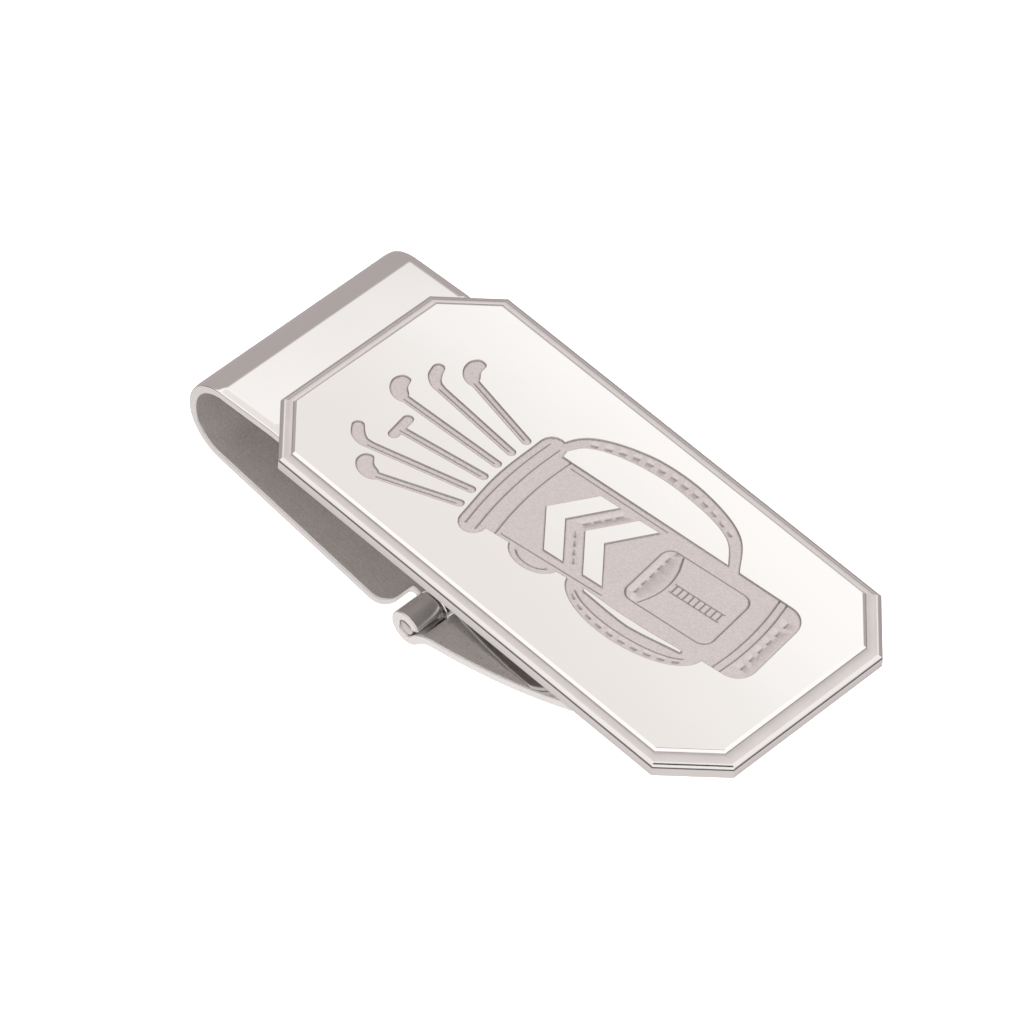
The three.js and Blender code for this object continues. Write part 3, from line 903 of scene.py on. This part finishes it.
def make_plate():
    """The octagons joined into one solid, with the etched picture as its top."""
    rings = plate_rings()
    verts = [(x, y, z) for outline, z, _, _ in rings for x, y in outline]
    satin = [ring[2] for ring in rings for _ in range(SIDES)]
    dark = [ring[3] for ring in rings for _ in range(SIDES)]
    etch = [0.0] * len(verts)
    faces = [tuple(range(SIDES - 1, -1, -1)), *ring_faces(len(rings), SIDES)]

    loops = etched_loops(
        [counter_clockwise(s) for s in SOLIDS], [counter_clockwise(s) for s in ISLANDS]
    )
    flat, triangles, origin, owners = cut_top(rings[-1][0], loops)
    depths = etched_distances(flat, triangles, owners, loops)
    to_line, to_dash = distance_tree(LINES, False), distance_tree(DASHES, False)
    rim_index = {i: o for o in range(SIDES) for i, who in enumerate(origin) if o in who}
    last_ring = SIDES * (len(rings) - 1)
    number = {}
    for i, ((x, y), signed) in enumerate(zip(flat, depths)):
        if i in rim_index:
            number[i] = last_ring + rim_index[i]
            continue
        z, share, shade = relief(signed, to_line(x, y), to_dash(x, y))
        number[i] = len(verts)
        verts.append((x, y, plate_high[2] + z))
        satin.append(0.0)
        etch.append(share)
        dark.append(shade)
    faces += [tuple(number[i] for i in t) for t in triangles]

    piece = make_object("etched_plate", verts, faces, "clip", "front_plate", plate_metal())
    for edge in piece.data.edges:  # the mitres between the octagon's sides
        a, b = sorted(edge.vertices)
        if b - a == SIDES and b < SIDES * len(rings):
            edge.use_edge_sharp = True
    add_attribute(piece, "etch", etch)
    # The dark attribute carries patina and painted shade for the etching's corners and lines.
    add_attribute(piece, "dark", dark)
    add_attribute(piece, "satin", satin)


make_plate()

# ---- band ----

BAND_FINISH = two_faced_metal(
    "clip_band_metal",
    ((0.90, 0.875, 0.865), 0.07, 1.0),
    ((0.80, 0.77, 0.755), 0.45, 0.88),
    (0.7, 9.0, 0.7),
)


TOP_LEG_SLOPE, LOWER_LEG_SLOPE = math.radians(4.7), math.radians(-6)
TOP_LEG_BEND_RADIUS = 3.0
LOOP_RADIUS = 4.12  # outside of the loop
BAND_NECK_RADIUS = 1.2
TONGUE_END, TONGUE_CORNER = -10.9, 1.5
NECK_FILLET = 0.3


def band_path():
    """From the centre knuckle along the lower leg, round the loop and back under the plate."""
    loop_x = band_low[0] + LOOP_RADIUS
    start, moves, reach = rolled_knuckle(LOWER_LEG_SLOPE, -1, BAND_NECK_RADIUS)
    centre = LOOP_RADIUS - SHEET / 2
    run = (HINGE[0] - loop_x) / math.cos(LOWER_LEG_SLOPE) - centre * math.tan(LOWER_LEG_SLOPE)
    moves.append(("line", run - reach, 0))
    moves.append(("bend", centre, TOP_LEG_SLOPE - LOWER_LEG_SLOPE - math.pi))
    z = Path(*start, moves).end[1]
    bend_rise = TOP_LEG_BEND_RADIUS * (1 - math.cos(TOP_LEG_SLOPE))
    rise = plate_low[2] - SHEET / 2 - z - bend_rise
    moves.append(("line", rise / math.sin(TOP_LEG_SLOPE), 0))
    moves.append(("bend", TOP_LEG_BEND_RADIUS, -TOP_LEG_SLOPE))
    x = Path(*start, moves).end[0]
    moves.append(("line", band_high[0] - x, 0))
    return Path(*start, moves)


def make_band():
    path = band_path()
    after_neck, loop_start = path.parts[2][0], path.parts[3][0]
    step = path.length_at_x(TONGUE_END, after_neck, loop_start)
    half = [(0.0, -CENTRE_KNUCKLE_HALF)]
    half += arc(step - NECK_FILLET, -CENTRE_KNUCKLE_HALF - NECK_FILLET, NECK_FILLET, 90, 0, 4)
    half += arc(step + TONGUE_CORNER, -BAND_HALF + TONGUE_CORNER, TONGUE_CORNER, 180, 270, 10)
    half += [(path.length, -BAND_HALF)]
    shoulder = (SHOULDER_WIDTH, SHOULDER_SLOPE, loop_start - SHOULDER_FADE, path.length)
    sheet_piece(
        "bent_band", path, mirrored(half), SHEET, EDGE, "clip", "clip_band", BAND_FINISH, shoulder
    )


make_band()

# ---- lever ----

LEVER_FINISH = two_faced_metal(
    "lever_metal",
    ((0.87, 0.84, 0.825), 0.30, 0.72),
    ((0.88, 0.855, 0.845), 0.24, 0.85),
    (5.0, 4.0, 5.0),
)
LEVER_NECK_RADIUS = 3.0
LEVER_ROOT_SLOPE = math.radians(11.2)
BOW_RADIUS, BOW_ANGLE = 58.0, math.radians(16.5)
TIP_RADIUS, TIP_FLARE, TIP_CLEARANCE = 10.0, math.radians(12), 0.05
LEVER_TAPER = 2.5  # degrees, per side
LEVER_CORNER = 4.0
LEVER_NOTCH_GAP = 0.35


def lever_path():
    """From the outer knuckles along the bow to the tip, which turns away from the top leg."""
    start, moves, _ = rolled_knuckle(LEVER_ROOT_SLOPE, 1, LEVER_NECK_RADIUS)
    moves.append(("bend", BOW_RADIUS, BOW_ANGLE))
    _, z, slope = Path(*start, moves).end
    highest = plate_low[2] - SHEET - TIP_CLEARANCE - SHEET / 2
    rise = highest - z - TIP_RADIUS * (1 - math.cos(slope))
    moves.append(("line", rise / math.sin(slope), 0))
    moves.append(("bend", TIP_RADIUS, -slope - TIP_FLARE))
    return Path(*start, moves)


lever = lever_path()


def make_lever():
    after_roll, bow_start = lever.parts[1][0], lever.parts[2][0]
    tip_x = lever.end[0]
    taper, corner = math.radians(LEVER_TAPER), LEVER_CORNER
    taper_x = HINGE[0] + KNUCKLE_RADIUS

    def flat(x, y):
        return (lever.length_at_x(x, after_roll, lever.length), y)

    corner_x = tip_x - corner
    corner_y = BAND_HALF - (corner_x - taper_x) * math.tan(taper) - corner / math.cos(taper)
    outside = [(0.0, -BAND_HALF), flat(taper_x, -BAND_HALF)]
    outside += [flat(x, y) for x, y in arc(corner_x, -corner_y, corner, LEVER_TAPER - 90, 0, 14)[:-1]]
    outside += [(lever.length, -corner_y)]
    inner = CENTRE_KNUCKLE_HALF + KNUCKLE_GAP
    notch = lever.length_at_x(taper_x + LEVER_NOTCH_GAP, after_roll, bow_start + 10)
    outline = mirrored(outside) + [(0.0, inner), (notch, inner), (notch, -inner), (0.0, -inner)]
    sheet_piece("bowed_lever", lever, outline, SHEET, EDGE, "jaw", "lever", LEVER_FINISH)


make_lever()

# ---- leaf spring ----

LEAF, LEAF_GAP, LEAF_EDGE = 0.4, 0.05, 0.08  # thickness, room under it, rounding of its edges
LEAF_OFFSET = SHEET / 2 + LEAF_GAP + LEAF / 2
LEAF_HALF_WIDTH = 10.25
LEAF_ROOT_CORNER, LEAF_TIP_CORNER = 2.4, 1.2
LEAF_TAPER = 12.0  # degrees, per side
LEAF_TIP_WRAP = math.radians(50)
# The leaf's top face is dark grey: painted shade for the shade under the plate's edge; its underside is
# polished.
LEAF_METAL_WITH_PAINTED_SHADE = two_faced_metal(
    "leaf_spring_metal_painted_shade_top",
    ((0.92, 0.91, 0.90), 0.16, 1.0),
    ((0.30, 0.29, 0.285), 0.36, 1.0),
    (0.7, 9.0, 0.7),
)


def leaf_path():
    """From the root along the lever's bow, up clear of it, and round over the centre knuckle."""
    peak_x = HINGE[0]
    peak_z = HINGE[2] + KNUCKLE_RADIUS + LEAF_GAP + LEAF / 2
    bow_start, bow_length = lever.parts[2][:2]

    def over_lever(s):
        x, z, a = lever.at(s)
        return x - LEAF_OFFSET * math.sin(a), z + LEAF_OFFSET * math.cos(a), a

    def arc_angle(x, z):
        return 2 * math.atan2(z - peak_z, x - peak_x)

    def last_where(holds, low):
        """The greatest length along the bow, from low on, up to which this holds."""
        high = bow_start + bow_length
        for _ in range(HALVINGS):
            middle = (low + high) / 2
            if holds(*over_lever(middle)):
                low = middle
            else:
                high = middle
        return low

    lifts_off = last_where(lambda x, z, a: arc_angle(x, z) < a, bow_start)
    x, z, lift = over_lever(lifts_off)
    angle = arc_angle(x, z)
    rooted = last_where(lambda x, z, a: x < leaf_high[0], lifts_off)
    root_x, root_z, root = over_lever(rooted)
    return Path(root_x, root_z, root + math.pi, [
        ("bend", BOW_RADIUS - LEAF_OFFSET, lift - root),
        ("bend", (x - peak_x) / math.sin(angle), -angle),
        ("bend", peak_z - HINGE[2], LEAF_TIP_WRAP),
    ])


def make_leaf():
    path = leaf_path()
    root_x, tip_x = leaf_high[0], leaf_low[0]
    wide_x, narrow_x = root_x - LEAF_ROOT_CORNER, tip_x + LEAF_TIP_CORNER
    taper = math.radians(LEAF_TAPER)
    narrow_y = LEAF_HALF_WIDTH - (wide_x - narrow_x) * math.tan(taper)
    narrow_y -= LEAF_TIP_CORNER / math.cos(taper)
    plan = arc(wide_x, -LEAF_HALF_WIDTH + LEAF_ROOT_CORNER, LEAF_ROOT_CORNER, 0, -90, 10)
    plan += arc(narrow_x, -narrow_y, LEAF_TIP_CORNER, -90 - LEAF_TAPER, -180, 7)
    half = [(path.length_at_x(x, 0.0, path.length), y) for x, y in plan]
    outline = mirrored(half)
    sheet_piece("sprung_leaf", path, outline, LEAF, LEAF_EDGE, "jaw", "leaf_spring", LEAF_METAL_WITH_PAINTED_SHADE)


make_leaf()

# ---- pin and rivets ----


def lathe(name, profile, centre, axis, body, node, material, segments=64):
    """A turned piece from (radius, height) points, first to last along the axis."""
    up = unit(np.array(axis, float))
    side = unit(np.cross(up, (0.3, 0.2, 0.9)))
    other = np.cross(up, side)
    verts = []
    for radius, height in profile[1:-1]:
        for k in range(segments):
            a = 2 * math.pi * k / segments
            verts.append(centre + up * height + (side * math.cos(a) + other * math.sin(a)) * radius)
    faces = ring_faces(len(profile) - 2, segments)
    first, last = len(verts), len(verts) + 1
    verts += [centre + up * profile[0][1], centre + up * profile[-1][1]]
    top = (len(profile) - 3) * segments
    for k in range(segments):
        j = (k + 1) % segments
        faces += [(first, j, k), (last, top + k, top + j)]
    return make_object(name, verts, faces, body, node, material)


def dome(radius, low, height, side, steps=6):
    """Points of a dome from its foot to its pole."""
    turns = [math.pi / 2 * k / steps for k in range(steps + 1)]
    return [(radius * math.cos(a), low + side * height * math.sin(a)) for a in turns]


PIN_CROWN = 0.16
RIVET_X, RIVET_SEAT_GAP = 5.9, 0.06
RIVET_SHANK_RADIUS, RIVET_HEAD_RADIUS, RIVET_HEAD_HEIGHT = 0.65, 1.1, 0.4


def make_pin():
    half, radius = (pin_high[1] - pin_low[1]) / 2, (pin_high[0] - pin_low[0]) / 2
    low = dome(radius, -half + PIN_CROWN, PIN_CROWN, -1)[::-1]
    high = dome(radius, half - PIN_CROWN, PIN_CROWN, 1)
    centre = np.array([HINGE[0], BAND_Y, HINGE[2]])
    finish = plain_metal("hinge_pin_metal", (0.80, 0.77, 0.76), 0.16, (3.0, 3.0, 3.0))
    lathe("turned_pin", low + high, centre, (0, 1, 0), "clip", "hinge_pin", finish)


def make_rivets():
    finish = plain_metal("rivet_metal", (0.82, 0.80, 0.785), 0.18, (4.0, 4.0, 4.0))
    s = lever.length_at_x(RIVET_X, lever.parts[2][0], lever.parts[3][0])
    x, z, a = lever.at(s)
    low_seat = -SHEET / 2 - RIVET_SEAT_GAP
    high_seat = LEAF_OFFSET + LEAF / 2 + RIVET_SEAT_GAP
    profile = dome(RIVET_HEAD_RADIUS, low_seat, RIVET_HEAD_HEIGHT, -1)[::-1]
    profile += [(RIVET_SHANK_RADIUS, low_seat), (RIVET_SHANK_RADIUS, high_seat)]
    profile += dome(RIVET_HEAD_RADIUS, high_seat, RIVET_HEAD_HEIGHT, 1)
    for name in ("spring_rivet_right", "spring_rivet_left"):
        low, high = box_mm(name)
        centre = np.array([x, (low[1] + high[1]) / 2, z])
        lathe("set_" + name, profile, centre, (-math.sin(a), 0, math.cos(a)), "jaw", name, finish)


make_pin()
make_rivets()

# ---- camera ----

AZIMUTH, ELEVATION, ROLL = math.radians(42.328), math.radians(49.847), math.radians(4.092)
DISTANCE = 641.0
SENSOR_WIDTH, LENS = 36, 287.3
SHIFT_X, SHIFT_Y = -0.0651, 0.0134
CLIP_START, CLIP_END = 0.01, 20


def make_camera():
    """A camera at the photograph's angle, aimed at the plate's middle, level with its border."""
    target = Vector((0, 0, plate_high[2] - PANEL_RISE)) * MM
    back = Vector((
        math.sin(AZIMUTH) * math.cos(ELEVATION),
        -math.cos(AZIMUTH) * math.cos(ELEVATION),
        math.sin(ELEVATION),
    ))
    level = Vector((math.cos(AZIMUTH), math.sin(AZIMUTH), 0))
    upright = back.cross(level)
    right = level * math.cos(ROLL) + upright * math.sin(ROLL)
    above = upright * math.cos(ROLL) - level * math.sin(ROLL)
    camera = bpy.data.objects.new("camera", bpy.data.cameras.new("camera"))
    camera.data.sensor_width, camera.data.lens = SENSOR_WIDTH, LENS
    camera.data.shift_x, camera.data.shift_y = SHIFT_X, SHIFT_Y
    camera.data.clip_start, camera.data.clip_end = CLIP_START, CLIP_END
    place = Matrix.Translation(target + back * DISTANCE * MM)
    camera.matrix_world = place @ Matrix((right, above, back)).transposed().to_4x4()
    bpy.context.scene.collection.objects.link(camera)
    bpy.context.scene.camera = camera


make_camera()

# ---- studio ----

bpy.context.scene.view_settings.view_transform = "Standard"


# Each patch of the studio is its middle, the cosines of the angles from there at which it
# starts and is full, and its colour.
TENT = ((0.193, -0.212, 0.958), 0.36, 0.445, (1.09, 1.08, 1.075))
PALE_PATCH = ((-0.48, 0.32, 0.816), 0.976, 0.991, (0.90, 0.87, 0.845))
DARK_OPENING = ((0.22, -0.235, 0.947), 0.953, 0.97, (0.05, 0.046, 0.045))
BEHIND = (-0.673, 0.739, 0)  # level, on the side away from the photograph's viewpoint
FRONT_GREY, BACK_GREY, SKIRTING_GREY = (0.82, 0.785, 0.775), (0.46, 0.42, 0.415), (0.11, 0.10, 0.098)


def studio_world():
    """A white tent above with a dark opening nearly overhead, and greys below it.

    It goes by world direction only, and its tones are placed for the photograph's reflections.
    """
    g = Graph(bpy.data.worlds.new("studio"))
    bpy.context.scene.world = g.owner
    direction = g.nodes.new("ShaderNodeTexCoord").outputs["Generated"]

    def towards(vector):
        node = g.nodes.new("ShaderNodeVectorMath")
        node.operation = "DOT_PRODUCT"
        g.link(direction, node.inputs[0])
        node.inputs[1].default_value = Vector(vector).normalized()
        return node.outputs["Value"]

    def ramp(value, low, high, to_low=0, to_high=1):
        return g.remap(value, low, high, to_low, to_high, "SMOOTHSTEP")

    up, behind = towards((0, 0, 1)), towards(BEHIND)
    colour = g.mix(ramp(behind, -0.2, 0.6), FRONT_GREY, BACK_GREY)
    low_strip = g.math("MULTIPLY", ramp(up, -0.5, -0.3), ramp(up, 0.0, 0.2, 1, 0))
    skirting = g.math("MULTIPLY", low_strip, ramp(behind, 0.1, 0.6, 1, 0))
    colour = g.mix(skirting, colour, SKIRTING_GREY)
    for middle, low, high, patch in (TENT, PALE_PATCH, DARK_OPENING):
        colour = g.mix(ramp(towards(middle), low, high), colour, patch)
    g.link(colour, g.nodes["Background"].inputs["Color"])


studio_world()


def stage_material(name, colour, glow):
    """Matt paper that also glows, so that it stays pale."""
    g, shader = new_material(name, metallic=0.0)
    shader["Roughness"].default_value = 0.8
    shader["Base Color"].default_value = (*colour, 1)
    shader["Emission Color"].default_value = (1, 1, 1, 1)
    shader["Emission Strength"].default_value = glow
    return g.owner


FLOOR_ROOM = 1.5
FLOOR_RADIUS, WALL_RADIUS, WALL_HEIGHT = 2.6, 2.5, 6.0  # metres
ROUND_STAGE = 96  # sides


def make_floor():
    """A pale floor, low enough for the lever to swing open above it."""
    bpy.ops.mesh.primitive_circle_add(vertices=ROUND_STAGE, radius=FLOOR_RADIUS, fill_type="NGON")
    floor = bpy.context.object
    floor.name = "floor"
    lever_reach = math.hypot(lever_high[0] - HINGE[0], lever_high[2] - HINGE[2])
    floor.location.z = (HINGE[2] - lever_reach - FLOOR_ROOM) * MM
    floor.data.materials.append(stage_material("floor_paper", (0.92, 0.915, 0.91), 0.30))
    floor.visible_glossy = False


make_floor()


def make_backdrop():
    """A white wall all round the floor, which only the camera sees."""
    bpy.ops.mesh.primitive_cylinder_add(
        vertices=ROUND_STAGE, radius=WALL_RADIUS, depth=WALL_HEIGHT, end_fill_type="NOTHING"
    )
    wall = bpy.context.object
    wall.name = "backdrop"
    wall.data.materials.append(stage_material("backdrop_paper", (0.0, 0.0, 0.0), 1.0))
    for hidden in ("visible_glossy", "visible_diffuse", "visible_transmission", "visible_shadow"):
        setattr(wall, hidden, False)


make_backdrop()


LAMP_SIZE = 0.5  # metres


def lamp(name, position, power):
    """A soft disk of light aimed at the clip, which the metal doesn't mirror."""
    data = bpy.data.lights.new(name, "AREA")
    data.shape, data.size, data.energy = "DISK", LAMP_SIZE, power
    light = bpy.data.objects.new(name, data)
    light.location = position
    light.rotation_mode = "QUATERNION"
    light.rotation_quaternion = Vector(position).to_track_quat("Z", "Y")
    light.visible_glossy = False
    bpy.context.scene.collection.objects.link(light)


lamp("key", (-0.35, 0.45, 0.70), 6.0)
lamp("fill", (0.6, -0.3, 0.6), 3.0)
